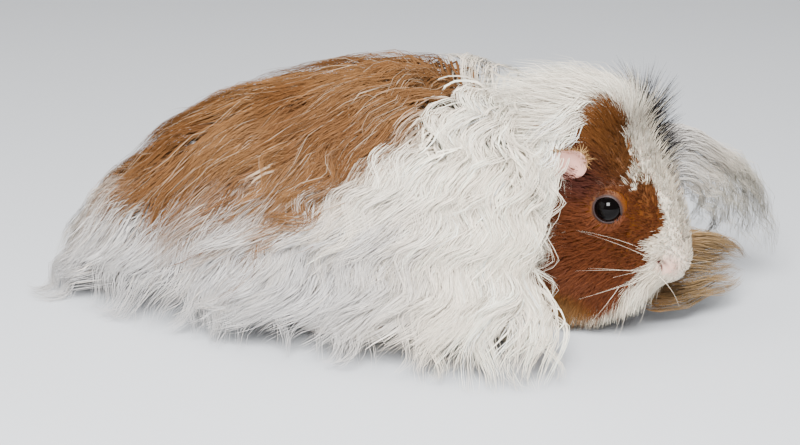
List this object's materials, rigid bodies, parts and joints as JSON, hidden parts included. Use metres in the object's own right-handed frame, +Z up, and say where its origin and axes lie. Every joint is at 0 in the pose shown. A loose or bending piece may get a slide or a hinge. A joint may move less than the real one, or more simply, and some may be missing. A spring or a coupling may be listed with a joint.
{
  "type": "guinea pig",
  "caption": "Life-size still model of a long-haired guinea pig crouching, its coat falling to the floor, head low and turned to its right.",
  "frame": {"origin": "on the floor under the middle of the model's box", "axes": "+X along the body towards the head, +Y to the animal's left, +Z up"},
  "size_m": [0.3266, 0.1748, 0.111],
  "materials": {
    "white_fur": "long soft hair",
    "tan_fur": "long soft hair",
    "rust_fur": "short smooth hair",
    "grey_fur": "long wispy hair",
    "bare_skin": "bare skin",
    "eye": "wet gloss"
  },
  "bodies": {
    "root": {"head": "rust_fur", "muzzle": "white_fur", "jaw": "white_fur", "ear_right": "bare_skin", "ear_left": "bare_skin", "eye_right": "eye", "eye_left": "eye", "forelock": "grey_fur", "cheek_tuft_left": "tan_fur", "neck": "white_fur", "shoulders": "white_fur", "trunk": "tan_fur", "rump": "tan_fur", "train": "grey_fur", "coat_right": "white_fur", "coat_left": "white_fur", "ruff_right": "white_fur", "ruff_left": "white_fur", "foreleg_right": "bare_skin", "foreleg_left": "bare_skin", "hindleg_right": "bare_skin", "hindleg_left": "bare_skin"}
  },
  "joints": []
}
